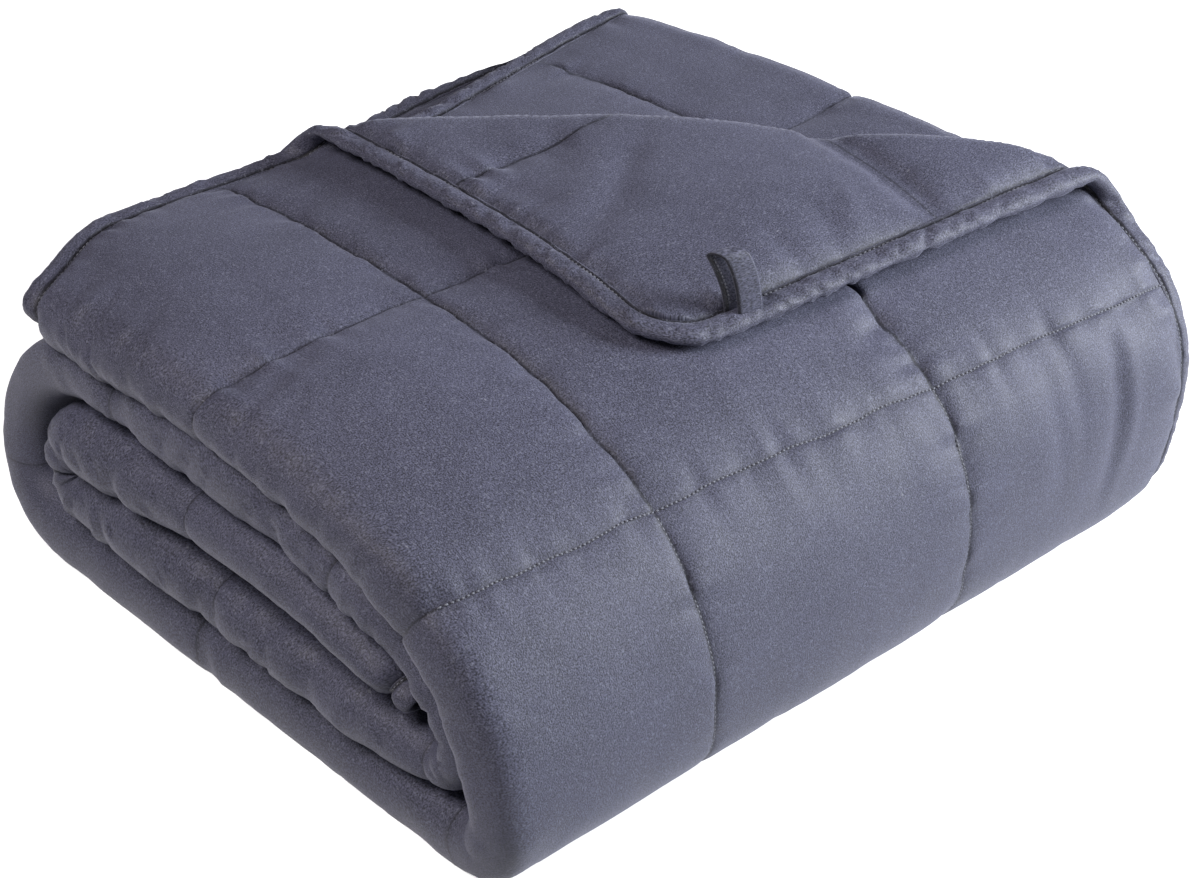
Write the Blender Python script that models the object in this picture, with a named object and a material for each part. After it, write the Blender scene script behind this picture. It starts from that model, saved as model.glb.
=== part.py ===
"""A weighted blanket, folded in three across its width and then rolled, with one corner turned back.

Cloth coordinates: s runs along the blanket from the bound end on top, t runs across it from the
open edge at the right, and lift is the distance from the middle of the cloth, positive outside.
"""

from collections import namedtuple

import bmesh
import bpy
import numpy as np

# The blanket laid flat, metres
CELL = 0.1524
CELLS_LONG = 12
CELLS_WIDE = 8
LENGTH = CELL * CELLS_LONG
WIDTH = CELL * CELLS_WIDE
CROWN = 0.0048
SEAM = 0.0011
INNER_RADIUS = 0.023

# Edge binding, measured out from its inner seam
Rib = namedtuple("Rib", "out lift")
BINDING = (
    Rib(0.0003, 0.0013),
    Rib(0.0035, 0.0027),
    Rib(0.0085, 0.0026),
    Rib(0.0115, 0.0011),
)

# The letter fold: three plies, one pitch apart
PITCH = 0.0102
OPEN_EDGE_X = 0.420
RIGHT_FOLD_X = 0.4045
LEFT_X = 0.001
# How far the open edge lies in from the line of the seams
DRAWN_IN = 0.0045
DRAWN_BY = 2.5 * CELL
OUTER_FOLD_R = PITCH
INNER_FOLD_R = PITCH / 2
AB_DEPTH = 1.5 * PITCH
BC_DEPTH = 2 * PITCH
FLAT_A = OPEN_EDGE_X - OUTER_FOLD_R - LEFT_X
TURN_AB = FLAT_A + np.pi * OUTER_FOLD_R
FLAT_B = TURN_AB + RIGHT_FOLD_X - INNER_FOLD_R - OUTER_FOLD_R - LEFT_X
TURN_BC = FLAT_B + np.pi * INNER_FOLD_R

# The rolled strip's outer face seen from the left: a row for each run and bend, with the heading
# there in degrees, how full the curve up to it is, and how far the plies are pressed together
Fold = namedtuple("Fold", "place y z heading fullness press")
ROLL = (
    Fold("bound end", 0.4137, 0.1465, 177, 1.00, 1.00),
    Fold("crown", 0.2100, 0.1588, 180, 1.00, 1.00),
    Fold("front", 0.0183, 0.0310, 270, 1.96, 0.68),
    Fold("floor, front", 0.0460, 0.0, 360, 1.75, 0.78),
    Fold("floor, back", 0.3370, 0.0, 360, 1.00, 0.98),
    Fold("back", 0.3833, 0.0370, 450, 1.70, 0.98),
    Fold("second layer, back", 0.3000, 0.1230, 538, 1.60, 0.96),
    Fold("second layer, front", 0.1720, 0.1243, 545, 1.00, 0.97),
    Fold("inner front", 0.0440, 0.0520, 630, 1.70, 0.58),
    Fold("fourth layer, front", 0.0740, 0.0272, 720, 1.66, 0.76),
    Fold("fourth layer, back", 0.3100, 0.0322, 720, 1.00, 0.90),
    Fold("inner back", 0.3375, 0.0585, 810, 1.64, 0.78),
    Fold("third layer", 0.3030, 0.0886, 899, 1.64, 0.88),
    Fold("bound end inside", 0.0710, 0.0680, 930, 1.00, 0.50),
)
BEND_POINTS = 60
PATH_STEP = 0.001
PATH_EASE = 8
PRESS_EASE = 12
BEFORE_END = 0.0592
# Path length from one cross seam to the next, outer face
SEAM_STEPS = (0.1505, 0.154, 0.153, 0.175, 0.178, 0.155, 0.160, 0.140, 0.140, 0.140, 0.140, 0.1355)

# The third ply slips out at the rear right, and its fold is drawn in there
Slip = namedtuple("Slip", "amount t half_width fades_by")
SLIPS = (
    Slip(0.058, 0.780, 0.317, 1.20),
    Slip(-0.030, 0.428, 0.070, 0.12),
)

# The bundle leans out of square
SKEW = 0.090
SKEW_X = 0.100
SKEW_LOW = 0.020
SKEW_RISE = 0.120
TAPER_A = -0.04
TAPER_BC = 0.03
TAPER_MID = 0.190
TAPER_DEPTH = 0.380
SAG = 0.010
SAG_REACH = 0.090
SAG_MOST = 1.2
SAG_LOW = 0.128
SAG_RISE = 0.030
FLOOR_PRESS = 0.0026
FLOOR_FADE = 0.020

# The corner of the top ply turned back over a crease
CREASE_DEG = 42.45
CREASE_REACH = 0.3638
CURL_R = 0.0078
CURL_END = 0.360
REST = 0.0142
SETTLE = 0.140
FAN = 0.10
DRIFT = 0.08
CREASE_STEPS = 5
CREASE_SNAP = 0.0015

# The tie loop: a tape folded double, standing on the turned corner
LOOP_S = 0.0380
LOOP_T = -0.0045
TAPE_WIDTH = 0.0116
TAPE_HALF = 0.0008
LOOP_LENGTH = 0.029
LOOP_TOP_R = 0.0032
LOOP_FOOT_R = 0.0024
LOOP_CLEAR = 0.0026
LOOP_SHEAR = 0.8
LOOP_TURN_DEG = -11
LEAN_TURN_DEG = 140
LEAN_AT_FOOT_DEG = 4
LEAN_AT_TOP_DEG = 40
LEG_STEPS = 5
TOP_STEPS = 7
FOOT_STEPS = 4

# Mesh stations
SIDE = 0.12
FULL_CELL = (0.0, SIDE, 0.5, 1 - SIDE)
PLAIN_CELL = (0.0, 0.15, 0.85)
FULL_CELLS_LONG = 8
PLAIN_CELLS_WIDE = (3, 4, 7)
MOST_TURN_DEG = 28
FOLD_STEPS_AB = 6
FOLD_STEPS_BC = 4
LEAST_STATION = 0.006
CORNER_STATIONS = 4

# Where the bundle's bottom centre lies in the frame that the folds are drawn in
CENTRE_X = 0.2163
CENTRE_Y = 0.2053

FABRIC = (0.118, 0.123, 0.165, 1.0)
ROUGHNESS = 0.9


def ease(share):
    """A smooth step from 0 to 1."""
    share = np.clip(share, 0, 1)
    return share * share * (3 - 2 * share)


def smoothed(values, width):
    """A Gaussian blur that keeps the run's ends."""
    reach = 3 * width
    weights = np.exp(-0.5 * (np.arange(-reach, reach + 1) / width) ** 2)
    before = 2 * values[0] - values[1 : reach + 1][::-1]
    after = 2 * values[-1] - values[-reach - 1 : -1][::-1]
    return np.convolve(np.concatenate([before, values, after]), weights / weights.sum(), "valid")


def roll_path():
    """Path length, outer face, outward direction, press and heading, every millimetre."""
    share = np.linspace(0, 1, BEND_POINTS, endpoint=False)[:, None]
    pieces = []
    for start, end in zip(ROLL[:-1], ROLL[1:]):
        a = np.array([start.y, start.z])
        b = np.array([end.y, end.z])
        way_a = np.array([np.cos(np.radians(start.heading)), np.sin(np.radians(start.heading))])
        way_b = np.array([np.cos(np.radians(end.heading)), np.sin(np.radians(end.heading))])
        pull_a = way_a * end.fullness * abs((b - a) @ way_a)
        pull_b = way_b * end.fullness * abs((b - a) @ way_b)
        u2 = share**2
        u3 = share**3
        pieces.append(
            (2 * u3 - 3 * u2 + 1) * a
            + (u3 - 2 * u2 + share) * pull_a
            + (3 * u2 - 2 * u3) * b
            + (u3 - u2) * pull_b
        )
    pieces.append(b[None])
    points = np.vstack(pieces)
    length = np.concatenate([[0], np.cumsum(np.hypot(*np.diff(points, axis=0).T))])
    at = np.arange(0, length[-1], PATH_STEP)
    y = smoothed(np.interp(at, length, points[:, 0]), PATH_EASE)
    z = smoothed(np.interp(at, length, points[:, 1]), PATH_EASE)
    press = smoothed(np.interp(at, length[::BEND_POINTS], [f.press for f in ROLL]), PRESS_EASE)
    slope_y = np.gradient(y)
    slope_z = np.gradient(z)
    size = np.hypot(slope_y, slope_z)
    heading = np.unwrap(np.arctan2(slope_z, slope_y))
    return at - BEFORE_END, y, z, slope_z / size, -slope_y / size, press, heading


PATH, PATH_Y, PATH_Z, OUT_Y, OUT_Z, PRESS, HEADING = roll_path()
CREASE_WAY = np.array([np.cos(np.radians(CREASE_DEG)), np.sin(np.radians(CREASE_DEG))])
SEAM_AT = np.concatenate([[0], np.cumsum(SEAM_STEPS)])


def half_thickness(s, t):
    """The quilting: full in the middle of each square and thin at the seams."""
    puff = np.sqrt(np.abs(np.sin(np.pi * s / CELL) * np.sin(np.pi * t / CELL)))
    return SEAM + (CROWN - SEAM) * puff


def letter_fold(t):
    """Where t lies in the three plies: x, depth, and the outward direction as (x, depth)."""
    turn_ab = np.clip((t - FLAT_A) / OUTER_FOLD_R, 0, np.pi)
    turn_bc = np.clip((t - FLAT_B) / INNER_FOLD_R, 0, np.pi)
    ply_b = t > TURN_AB
    drawn = DRAWN_IN * np.cos(np.pi * t / CELL) * np.clip(1 - t / DRAWN_BY, 0, 1)
    x = np.where(ply_b, LEFT_X + OUTER_FOLD_R + t - TURN_AB, OPEN_EDGE_X - t - drawn)
    bend = (t >= FLAT_A) & ~ply_b
    x = np.where(bend, LEFT_X + OUTER_FOLD_R - OUTER_FOLD_R * np.sin(turn_ab), x)
    inner_x = RIGHT_FOLD_X - INNER_FOLD_R
    x = np.where(t > FLAT_B, inner_x + INNER_FOLD_R * np.sin(turn_bc), x)
    x = np.where(t > TURN_BC, inner_x - (t - TURN_BC), x)
    depth = AB_DEPTH - OUTER_FOLD_R * np.cos(turn_ab)
    depth = np.where(t > FLAT_B, BC_DEPTH + INNER_FOLD_R * np.cos(turn_bc), depth)
    out_x = np.where(t > FLAT_B, np.sin(turn_bc), -np.sin(turn_ab))
    out_depth = np.where(t > FLAT_B, np.cos(turn_bc), -np.cos(turn_ab))
    return x, depth, out_x, out_depth


def slipped(s, t):
    total = 0.0
    for slip in SLIPS:
        share = np.clip((t - slip.t) / slip.half_width, -1, 1)
        hump = np.cos(share * np.pi / 2) ** 2
        total = total + slip.amount * hump * np.clip(1 - s / slip.fades_by, 0, 1)
    return total


def rolled(s, t, lift):
    """The folded and rolled bundle before its corner is turned back."""
    cell = np.clip(s / CELL, 0, CELLS_LONG)
    past = s - cell * CELL
    along = np.interp(cell, np.arange(CELLS_LONG + 1), SEAM_AT) + past - slipped(s, t)
    x, depth, out_x, out_depth = letter_fold(t)
    depth = (depth + out_depth * lift) * np.interp(along, PATH, PRESS)
    x = x + out_x * lift
    y = np.interp(along, PATH, PATH_Y) - np.interp(along, PATH, OUT_Y) * depth
    z = np.interp(along, PATH, PATH_Z) - np.interp(along, PATH, OUT_Z) * depth
    taper = TAPER_A + (TAPER_BC - TAPER_A) * ease((t - FLAT_A) / (TURN_AB - FLAT_A))
    wide = x * (1 + taper * (TAPER_MID - y) / TAPER_DEPTH)
    y = y - SKEW * (x - SKEW_X) * ease((z - SKEW_LOW) / SKEW_RISE)
    edge = np.clip(1 - x / SAG_REACH, 0, SAG_MOST)
    z = z - SAG * edge**2 * ease((z - SAG_LOW) / SAG_RISE)
    z = np.maximum(z - FLOOR_PRESS * np.clip(1 - z / FLOOR_FADE, 0, 1), 0)
    return np.stack([wide, y, z], axis=1)


def top_height(x, y):
    """Height of the middle of the top ply over a place in plan."""
    on_top = PATH < CURL_END
    depth = 0.5 * PITCH * PRESS[on_top]
    ply_y = PATH_Y[on_top] - OUT_Y[on_top] * depth
    ply_z = PATH_Z[on_top] - OUT_Z[on_top] * depth
    flat_x = x / (1 + TAPER_A * (TAPER_MID - y) / TAPER_DEPTH)
    order = np.argsort(ply_y)
    return np.interp(y + SKEW * (flat_x - SKEW_X), ply_y[order], ply_z[order])


def past_crease(middle):
    """Distance in plan beyond the line where the top ply starts to lift."""
    return middle[:, :2] @ CREASE_WAY - CREASE_REACH + np.pi * CURL_R / 2


def laid(s, t, lift):
    """Cloth coordinates to space, with the corner of the top ply turned back over its crease."""
    s, t, lift = np.broadcast_arrays(*(np.atleast_1d(np.asarray(v, float)) for v in (s, t, lift)))
    place = rolled(s, t, lift)
    middle = rolled(s, t, np.zeros_like(s))
    past = past_crease(middle)
    turned = (t < FLAT_A) & (s < CURL_END) & (past > 0)
    middle = middle[turned]
    past = past[turned]
    offset = place[turned] - middle
    turn = np.minimum(past / CURL_R, np.pi)
    back = np.maximum(past - np.pi * CURL_R, 0)
    fade = (1 + np.cos(turn)) / 2
    crease_line = np.array([-CREASE_WAY[1], CREASE_WAY[0]])
    fanned = back * (1 + FAN * (middle[:, :2] @ crease_line))
    across = (CURL_R - offset[:, 2]) * np.sin(turn) - fanned
    plan = middle[:, :2] + CREASE_WAY * (across - past)[:, None] + offset[:, :2] * fade[:, None]
    plan = plan + crease_line * (DRIFT * back)[:, None]
    lifted = CURL_R * (1 - np.cos(turn)) + (REST - 2 * CURL_R) * ease(back / SETTLE)
    own = middle[:, 2] - top_height(middle[:, 0], middle[:, 1])
    height = top_height(plan[:, 0], plan[:, 1]) + own * fade + lifted + offset[:, 2] * np.cos(turn)
    place[turned] = np.column_stack([plan, height])
    return place - np.array([CENTRE_X, CENTRE_Y, 0])


def crease_lines():
    """Where lines along the crease cross the two edges of the cloth: s on one edge, t on the other."""
    at = np.arange(0, CURL_END, PATH_STEP)
    none = np.zeros_like(at)
    on_long = past_crease(rolled(at, none, none))
    on_wide = past_crease(rolled(none, at, none))
    levels = np.linspace(0, np.pi * CURL_R, CREASE_STEPS + 1)
    return np.interp(-levels, -on_long, at), np.interp(-levels, -on_wide, at)


def cell_stations(count, shares_of):
    stations = [(cell + share) * CELL for cell in range(count) for share in shares_of(cell)]
    near_edge = list(np.linspace(0, INNER_RADIUS, CORNER_STATIONS))
    margin = INNER_RADIUS + LEAST_STATION
    inside = [at for at in stations if margin < at < count * CELL - margin]
    return near_edge + inside + [count * CELL - at for at in near_edge[::-1]]


def long_stations():
    """Stations along the blanket, closer together where the roll bends."""
    plain = cell_stations(CELLS_LONG, lambda cell: FULL_CELL if cell < FULL_CELLS_LONG else PLAIN_CELL)
    along = np.interp(np.array(plain) / CELL, np.arange(CELLS_LONG + 1), SEAM_AT)
    turns = np.abs(np.diff(np.degrees(np.interp(along, PATH, HEADING))))
    stations = []
    for start, end, turn in zip(plain[:-1], plain[1:], turns):
        parts = max(1, int(np.ceil(turn / MOST_TURN_DEG)))
        stations.extend(np.linspace(start, end, parts, endpoint=False))
    return np.array(stations + [LENGTH])


def wide_stations():
    """Stations across the blanket, with each fold of the letter fold in even steps."""
    plain = cell_stations(CELLS_WIDE, lambda cell: PLAIN_CELL if cell in PLAIN_CELLS_WIDE else FULL_CELL)
    bends = (
        np.linspace(FLAT_A, TURN_AB, FOLD_STEPS_AB + 1),
        np.linspace(FLAT_B, TURN_BC, FOLD_STEPS_BC + 1),
    )
    for bend in bends:
        plain = [at for at in plain if not bend[0] - LEAST_STATION < at < bend[-1] + LEAST_STATION]
    return np.array(sorted(plain + [at for bend in bends for at in bend]))


def round_corners(s, t):
    """Moves the stations of each corner square onto a quarter circle."""
    middle_s = np.clip(s, INNER_RADIUS, LENGTH - INNER_RADIUS)
    middle_t = np.clip(t, INNER_RADIUS, WIDTH - INNER_RADIUS)
    u = (s - middle_s) / INNER_RADIUS
    v = (t - middle_t) / INNER_RADIUS
    return (
        middle_s + INNER_RADIUS * u * np.sqrt(1 - v**2 / 2),
        middle_t + INNER_RADIUS * v * np.sqrt(1 - u**2 / 2),
    )


def outline(long, wide):
    """Stations round the rounded edge of the blanket: s, t and the outward direction as (s, t)."""
    crossing_s, crossing_t = crease_lines()
    open_side = np.sort(np.concatenate([long, crossing_s]))
    bound_end = np.sort(np.concatenate([wide, crossing_t]))
    sides = (
        [(s, 0) for s in open_side[:-1]],
        [(LENGTH, t) for t in wide[:-1]],
        [(s, WIDTH) for s in long[:0:-1]],
        [(0, t) for t in bound_end[:0:-1]],
    )
    square = np.array([row for side in sides for row in side], float)
    s, t = round_corners(square[:, 0], square[:, 1])
    inner_s = np.clip(square[:, 0], INNER_RADIUS, LENGTH - INNER_RADIUS)
    inner_t = np.clip(square[:, 1], INNER_RADIUS, WIDTH - INNER_RADIUS)
    return np.column_stack([s, t, (s - inner_s) / INNER_RADIUS, (t - inner_t) / INNER_RADIUS])


def finished(name, bm, points):
    """Moves the mesh's vertices to their points and makes it a named object of cloth."""
    for vert, point in zip(bm.verts, points):
        vert.co = point
    bmesh.ops.recalc_face_normals(bm, faces=bm.faces)
    if bm.calc_volume(signed=True) < 0:
        bmesh.ops.reverse_faces(bm, faces=bm.faces)
    mesh = bpy.data.meshes.new(name)
    bm.to_mesh(mesh)
    bm.free()
    material = bpy.data.materials.new(name)
    material.use_nodes = True
    shader = material.node_tree.nodes["Principled BSDF"]
    shader.inputs["Base Color"].default_value = FABRIC
    shader.inputs["Roughness"].default_value = ROUGHNESS
    mesh.materials.append(material)
    return bpy.data.objects.new(name, mesh)


def quilted_body(long, wide):
    bm = bmesh.new()
    bmesh.ops.create_grid(bm, x_segments=len(long) - 1, y_segments=len(wide) - 1, size=0.5)
    for vert in bm.verts:
        row = round((vert.co.x + 0.5) * (len(long) - 1))
        column = round((vert.co.y + 0.5) * (len(wide) - 1))
        vert.co.x, vert.co.y = round_corners(long[row], wide[column])
    for on_long, on_wide in zip(*crease_lines()):
        whole = bm.verts[:] + bm.edges[:] + bm.faces[:]
        across = (on_wide, on_long, 0)
        bmesh.ops.bisect_plane(bm, geom=whole, dist=CREASE_SNAP, plane_co=(on_long, 0, 0), plane_no=across)
    upper = bmesh.ops.extrude_face_region(bm, geom=bm.faces[:])["geom"]
    bmesh.ops.translate(bm, vec=(0, 0, 1), verts=[v for v in upper if isinstance(v, bmesh.types.BMVert)])
    s, t, upper = np.array([v.co for v in bm.verts]).T
    lift = np.where(upper > 0.5, 1, -1) * half_thickness(s, t)
    return finished("quilted_body", bm, laid(s, t, lift))


def ring(name, stations, section_points, place):
    """A closed ring: a torus whose vertices are moved to place(station, point of the section)."""
    bpy.ops.mesh.primitive_torus_add(major_segments=stations, minor_segments=section_points)
    torus = bpy.context.object
    bm = bmesh.new()
    bm.from_mesh(torus.data)
    bpy.data.objects.remove(torus)
    at = np.arange(stations * section_points)
    return finished(name, bm, place(at // section_points, at % section_points))


def edge_binding(long, wide):
    rim = outline(long, wide)
    section = np.array([(r.out, r.lift) for r in BINDING] + [(r.out, -r.lift) for r in BINDING[::-1]])

    def place(station, point):
        s, t, out_s, out_t = rim[station].T
        out, lift = section[point].T
        return laid(s + out_s * out, t + out_t * out, lift)

    return ring("edge_binding", len(rim), len(section), place)


def loop_profile():
    """The folded tape's middle line, as height above its foot and offset, with its outward normal."""
    rise = LOOP_LENGTH - LOOP_TOP_R - LOOP_FOOT_R
    tilt = np.arcsin((LOOP_TOP_R - LOOP_FOOT_R) / rise)
    rows = []
    for turn in np.linspace(-tilt, np.pi + tilt, TOP_STEPS):
        rows.append((LOOP_FOOT_R + rise + LOOP_TOP_R * np.sin(turn), LOOP_TOP_R * np.cos(turn), turn))
    foot = [
        (LOOP_FOOT_R + LOOP_FOOT_R * np.sin(turn), LOOP_FOOT_R * np.cos(turn), turn)
        for turn in np.linspace(np.pi + tilt, 2 * np.pi - tilt, FOOT_STEPS)
    ]
    down = [tuple(row) for row in np.linspace(rows[-1], foot[0], LEG_STEPS + 1)[1:-1]]
    first = (rows[0][0], rows[0][1], 2 * np.pi - tilt)
    up = [tuple(row) for row in np.linspace(foot[-1], first, LEG_STEPS + 1)[1:-1]]
    return np.array(rows + down + foot + up)


def tie_loop():
    """The loop's foot stands on the turned corner's inner seam, and its top leans over to one side."""
    foot = laid(LOOP_S, LOOP_T, -SEAM)[0] + np.array([0, 0, LOOP_CLEAR])
    side_turn = np.radians(LOOP_TURN_DEG)
    side_way = np.array([np.cos(side_turn), np.sin(side_turn), 0])
    back_way = np.array([-np.sin(side_turn), np.cos(side_turn), 0])
    lean_turn = np.radians(LEAN_TURN_DEG)
    lean_way = np.array([np.cos(lean_turn), np.sin(lean_turn), 0])
    up = np.array([0, 0, 1])
    profile = loop_profile()
    corners = np.array([(-1, -1), (1, -1), (1, 1), (-1, 1)])

    def place(station, corner):
        height, offset, turn = profile[station].T
        side, out = corners[corner].T
        height = height + TAPE_HALF * out * np.sin(turn)
        offset = offset + TAPE_HALF * out * np.cos(turn)
        first = np.radians(LEAN_AT_FOOT_DEG)
        bend = np.radians(LEAN_AT_TOP_DEG - LEAN_AT_FOOT_DEG) / LOOP_LENGTH
        slope = first + bend * height
        reach = side * TAPE_WIDTH / 2 - LOOP_SHEAR * offset
        lean = (np.cos(first) - np.cos(slope)) / bend
        rise = (np.sin(slope) - np.sin(first)) / bend
        across = side_way * reach[:, None] + back_way * offset[:, None]
        return foot + across + lean_way * lean[:, None] + up * rise[:, None]

    return ring("tie_loop", len(profile), len(corners), place)


def main():
    for obj in list(bpy.data.objects):
        bpy.data.objects.remove(obj)
    collection = bpy.data.collections.new("weighted_blanket")
    bpy.context.scene.collection.children.link(collection)
    long = long_stations()
    wide = wide_stations()
    for obj in (quilted_body(long, wide), edge_binding(long, wide), tie_loop()):
        collection.objects.link(obj)


main()
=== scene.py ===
"""The looks of a quilted blanket that lies folded in three and rolled, with one corner turned back.

Cloth coordinates run through the whole file: s along the blanket from the bound end on top, t across
it from the open edge at the right, and lift from the middle of the cloth, positive outside.
"""

from collections import namedtuple

import bmesh
import bpy
import numpy as np
from bpy.props import FloatProperty, FloatVectorProperty, PointerProperty
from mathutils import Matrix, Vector


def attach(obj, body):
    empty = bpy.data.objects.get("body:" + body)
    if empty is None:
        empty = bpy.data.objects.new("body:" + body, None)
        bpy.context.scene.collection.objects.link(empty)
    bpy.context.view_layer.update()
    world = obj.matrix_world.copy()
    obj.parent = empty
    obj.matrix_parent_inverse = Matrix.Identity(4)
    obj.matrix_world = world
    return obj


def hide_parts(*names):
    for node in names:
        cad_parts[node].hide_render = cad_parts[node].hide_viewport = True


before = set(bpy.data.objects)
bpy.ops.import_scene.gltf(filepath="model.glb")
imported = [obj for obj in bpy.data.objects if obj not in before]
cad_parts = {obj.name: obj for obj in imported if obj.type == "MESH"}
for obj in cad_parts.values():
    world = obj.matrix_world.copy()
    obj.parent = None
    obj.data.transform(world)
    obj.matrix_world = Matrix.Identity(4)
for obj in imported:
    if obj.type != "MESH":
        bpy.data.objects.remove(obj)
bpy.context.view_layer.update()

bl_info = {
    "name": "Rolled Quilted Blanket",
    "version": (1, 0, 0),
    "blender": (4, 5, 0),
    "location": "View3D > Sidebar > Blanket",
    "description": "Sews a quilted, bound blanket over its folded solids and sets up its studio",
    "category": "Object",
}

BODY = "root"

# ---- The folds, which are the solids' own ----

CELL = 0.1524
CELLS_LONG = 12
CELLS_WIDE = 8
LENGTH = CELL * CELLS_LONG
WIDTH = CELL * CELLS_WIDE
INNER_RADIUS = 0.023

# The letter fold: three plies, one pitch apart
PITCH = 0.0102
OPEN_EDGE_X = 0.420
RIGHT_FOLD_X = 0.4045
LEFT_X = 0.001
DRAWN_IN = 0.0045
DRAWN_BY = 2.5 * CELL
OUTER_FOLD_R = PITCH
INNER_FOLD_R = PITCH / 2
AB_DEPTH = 1.5 * PITCH
BC_DEPTH = 2 * PITCH
FLAT_A = OPEN_EDGE_X - OUTER_FOLD_R - LEFT_X
TURN_AB = FLAT_A + np.pi * OUTER_FOLD_R
FLAT_B = TURN_AB + RIGHT_FOLD_X - INNER_FOLD_R - OUTER_FOLD_R - LEFT_X
TURN_BC = FLAT_B + np.pi * INNER_FOLD_R

# The rolled strip's outer face seen from the left: a row for each run and bend, with the heading
# there in degrees, how full the curve up to it is, and how far the plies are pressed together
Fold = namedtuple("Fold", "place y z heading fullness press")
ROLL = (
    Fold("bound end", 0.4137, 0.1465, 177, 1.00, 1.00),
    Fold("crown", 0.2100, 0.1588, 180, 1.00, 1.00),
    Fold("front", 0.0183, 0.0310, 270, 1.96, 0.68),
    Fold("floor, front", 0.0460, 0.0, 360, 1.75, 0.78),
    Fold("floor, back", 0.3370, 0.0, 360, 1.00, 0.98),
    Fold("back", 0.3833, 0.0370, 450, 1.70, 0.98),
    Fold("second layer, back", 0.3000, 0.1230, 538, 1.60, 0.96),
    Fold("second layer, front", 0.1720, 0.1243, 545, 1.00, 0.97),
    Fold("inner front", 0.0440, 0.0520, 630, 1.70, 0.58),
    Fold("fourth layer, front", 0.0740, 0.0272, 720, 1.66, 0.76),
    Fold("fourth layer, back", 0.3100, 0.0322, 720, 1.00, 0.90),
    Fold("inner back", 0.3375, 0.0585, 810, 1.64, 0.78),
    Fold("third layer", 0.3030, 0.0886, 899, 1.64, 0.88),
    Fold("bound end inside", 0.0710, 0.0680, 930, 1.00, 0.50),
)
BEND_POINTS = 60
PATH_STEP = 0.001
PATH_EASE = 8
PRESS_EASE = 12
BEFORE_END = 0.0592
# Path length from one cross seam to the next, outer face
SEAM_STEPS = (0.1505, 0.154, 0.153, 0.175, 0.178, 0.155, 0.160, 0.140, 0.140, 0.140, 0.140, 0.1355)

# The third ply slips out at the rear right, and its fold is drawn in there
Slip = namedtuple("Slip", "amount t half_width fades_by")
SLIPS = (
    Slip(0.058, 0.780, 0.317, 1.20),
    Slip(-0.030, 0.428, 0.070, 0.12),
)

# The bundle leans out of square
SKEW = 0.090
SKEW_X = 0.100
SKEW_LOW = 0.020
SKEW_RISE = 0.120
TAPER_A = -0.04
TAPER_BC = 0.03
TAPER_MID = 0.190
TAPER_DEPTH = 0.380
SAG = 0.010
SAG_REACH = 0.090
SAG_MOST = 1.2
SAG_LOW = 0.128
SAG_RISE = 0.030
FLOOR_PRESS = 0.0026
FLOOR_FADE = 0.020

# The corner of the top ply turned back over a crease
CREASE_DEG = 42.45
CREASE_REACH = 0.3638
CURL_R = 0.0078
CURL_END = 0.360
REST = 0.0142
SETTLE = 0.140
FAN = 0.10
DRIFT = 0.08

# Where the bundle's bottom centre lies in the frame that the folds are drawn in
CENTRE_X = 0.2163
CENTRE_Y = 0.2053


def ease(share):
    """A smooth step from 0 to 1."""
    share = np.clip(share, 0, 1)
    return share * share * (3 - 2 * share)


def smoothed(values, width):
    """A Gaussian blur that keeps the run's ends."""
    reach = 3 * width
    weights = np.exp(-0.5 * (np.arange(-reach, reach + 1) / width) ** 2)
    before = 2 * values[0] - values[1 : reach + 1][::-1]
    after = 2 * values[-1] - values[-reach - 1 : -1][::-1]
    return np.convolve(np.concatenate([before, values, after]), weights / weights.sum(), "valid")


def roll_path():
    """Path length, outer face, outward direction and press, every millimetre."""
    share = np.linspace(0, 1, BEND_POINTS, endpoint=False)[:, None]
    pieces = []
    for start, end in zip(ROLL[:-1], ROLL[1:]):
        a = np.array([start.y, start.z])
        b = np.array([end.y, end.z])
        way_a = np.array([np.cos(np.radians(start.heading)), np.sin(np.radians(start.heading))])
        way_b = np.array([np.cos(np.radians(end.heading)), np.sin(np.radians(end.heading))])
        pull_a = way_a * end.fullness * abs((b - a) @ way_a)
        pull_b = way_b * end.fullness * abs((b - a) @ way_b)
        u2 = share**2
        u3 = share**3
        pieces.append(
            (2 * u3 - 3 * u2 + 1) * a
            + (u3 - 2 * u2 + share) * pull_a
            + (3 * u2 - 2 * u3) * b
            + (u3 - u2) * pull_b
        )
    pieces.append(b[None])
    points = np.vstack(pieces)
    length = np.concatenate([[0], np.cumsum(np.hypot(*np.diff(points, axis=0).T))])
    at = np.arange(0, length[-1], PATH_STEP)
    y = smoothed(np.interp(at, length, points[:, 0]), PATH_EASE)
    z = smoothed(np.interp(at, length, points[:, 1]), PATH_EASE)
    press = smoothed(np.interp(at, length[::BEND_POINTS], [f.press for f in ROLL]), PRESS_EASE)
    slope_y = np.gradient(y)
    slope_z = np.gradient(z)
    size = np.hypot(slope_y, slope_z)
    return at - BEFORE_END, y, z, slope_z / size, -slope_y / size, press


PATH, PATH_Y, PATH_Z, OUT_Y, OUT_Z, PRESS = roll_path()
CREASE_WAY = np.array([np.cos(np.radians(CREASE_DEG)), np.sin(np.radians(CREASE_DEG))])
SEAM_AT = np.concatenate([[0], np.cumsum(SEAM_STEPS)])


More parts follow.
